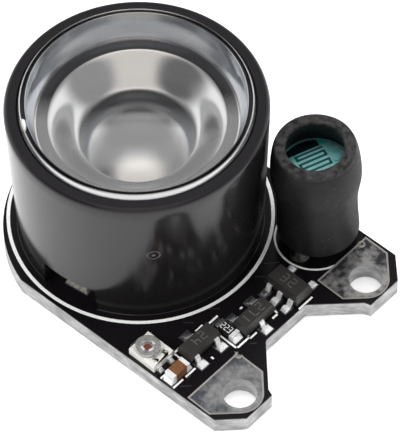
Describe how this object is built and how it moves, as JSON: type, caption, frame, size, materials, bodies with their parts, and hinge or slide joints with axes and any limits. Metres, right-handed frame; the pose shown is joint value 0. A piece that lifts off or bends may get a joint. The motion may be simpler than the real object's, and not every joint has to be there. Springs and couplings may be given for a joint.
{
  "type": "infrared illuminator",
  "caption": "Small infrared lamp board: lens in a moulded tube, sleeved light sensor, trimmer and screw ears on an aluminium circuit board.",
  "frame": {"origin": "centre of the lens on the board's bottom face", "axes": "+Z is the direction of the light, square to the board; +X points to the two screw ears"},
  "size_m": [0.0256, 0.019, 0.014],
  "materials": {
    "aluminium_core": "milled edge, satin faces",
    "black_mask": "glossy black mask with white printed marks",
    "tinned": "dull tinned copper",
    "solder": "shiny tin solder",
    "black_moulded": "satin black moulding",
    "clear_lens": "clear moulded optical plastic",
    "glue": "white cured glue",
    "copper": "plated copper",
    "white_moulded": "white moulding",
    "chip": "polished crystal",
    "ceramic_disc": "coated ceramic",
    "teal_film": "metal film under a clear coat",
    "dark_track": "light sensitive track",
    "sleeve": "shrunk black sleeve",
    "cream_ceramic": "pressed ceramic",
    "rotor_metal": "stamped tinned metal",
    "pivot": "red-brown resin",
    "brown_ceramic": "brown ceramic",
    "black_case": "black moulded case",
    "resistor_black": "black glass coat on ceramic"
  },
  "bodies": {
    "board": {"board_core": "aluminium_core", "circuit_layer": "black_mask", "screw_pad_left": "tinned", "screw_pad_right": "tinned", "component_lands": "tinned", "lens_holder": "black_moulded", "lens": "clear_lens", "lens_glue": "glue", "led_slug": "copper", "led_body": "white_moulded", "led_dome": "clear_lens", "led_die": "chip", "led_lead_front": "rotor_metal", "led_lead_back": "rotor_metal", "solder_led": "solder", "photoresistor_body": "ceramic_disc", "photoresistor_track": "dark_track", "photoresistor_electrodes": "teal_film", "photoresistor_leads": "rotor_metal", "photoresistor_sleeve": "sleeve", "solder_photoresistor": "solder", "transistor_a_body": "black_case", "transistor_a_leads": "rotor_metal", "solder_transistor_a": "solder", "transistor_b_body": "black_case", "transistor_b_leads": "rotor_metal", "solder_transistor_b": "solder", "driver_body": "black_case", "driver_leads": "rotor_metal", "solder_driver": "solder", "resistor_body": "resistor_black", "resistor_ends": "rotor_metal", "solder_resistor": "solder", "capacitor_body": "brown_ceramic", "capacitor_ends": "rotor_metal", "solder_capacitor": "solder", "trimmer_base": "cream_ceramic", "trimmer_pivot": "pivot", "trimmer_plate": "rotor_metal", "trimmer_terminals": "rotor_metal", "solder_trimmer": "solder"},
    "rotor": {"trimmer_rotor": "rotor_metal"}
  },
  "joints": [
    {"name": "trimmer_turn", "type": "hinge", "parent": "board", "child": "rotor", "pos_m": [0.00818, -0.00795, 0.0022], "axis": [0, 0, 1], "range_deg": [-130, 130]}
  ]
}
